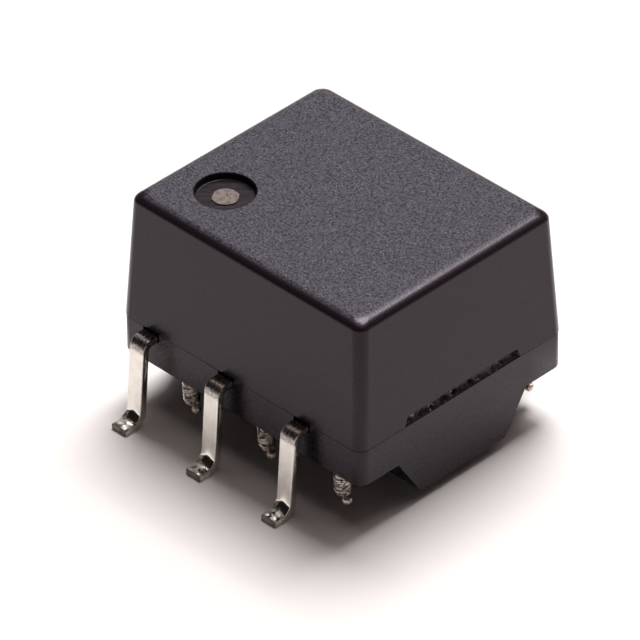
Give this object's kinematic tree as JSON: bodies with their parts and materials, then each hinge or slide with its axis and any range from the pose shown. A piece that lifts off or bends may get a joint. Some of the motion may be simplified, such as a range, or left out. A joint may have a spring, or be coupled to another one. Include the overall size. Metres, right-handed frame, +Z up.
{
  "type": "common mode choke",
  "caption": "Surface-mount common mode choke: wound toroid standing in a keeled moulded base under a drafted cap, with gull-wing terminals and wire-wrapped posts.",
  "frame": {"origin": "on the board, under the middle of the part", "axes": "+X along the terminal rows, away from terminal 1; +Y across the rows, from terminals 1 to 3 towards terminals 4 to 6; +Z up from the board"},
  "size_m": [0.008, 0.0092, 0.006],
  "materials": {
    "cap_plastic": "charcoal moulding compound, finely grained on top, smoother on the sides",
    "base_plastic": "charcoal moulding compound, smooth",
    "ferrite": "sintered and tumbled ferrite",
    "adhesive": "cured epoxy",
    "slot_resin": "lumpy black resin with pale specks",
    "enamelled_copper": "copper wire under clear enamel",
    "tinned_terminal": "bright tin plating on copper alloy strip",
    "solder": "solidified solder, satin"
  },
  "bodies": {
    "root": {"cap": "cap_plastic", "base": "base_plastic", "core": "ferrite", "core_adhesive": "adhesive", "slot_resin_1": "slot_resin", "slot_resin_2": "slot_resin", "winding_1": "enamelled_copper", "winding_2": "enamelled_copper", "winding_3": "enamelled_copper", "terminal_1": "tinned_terminal", "terminal_2": "tinned_terminal", "terminal_3": "tinned_terminal", "terminal_4": "tinned_terminal", "terminal_5": "tinned_terminal", "terminal_6": "tinned_terminal", "solder_bead_1": "solder", "solder_bead_2": "solder", "solder_bead_3": "solder", "solder_bead_4": "solder", "solder_bead_5": "solder", "solder_bead_6": "solder"}
  },
  "joints": []
}
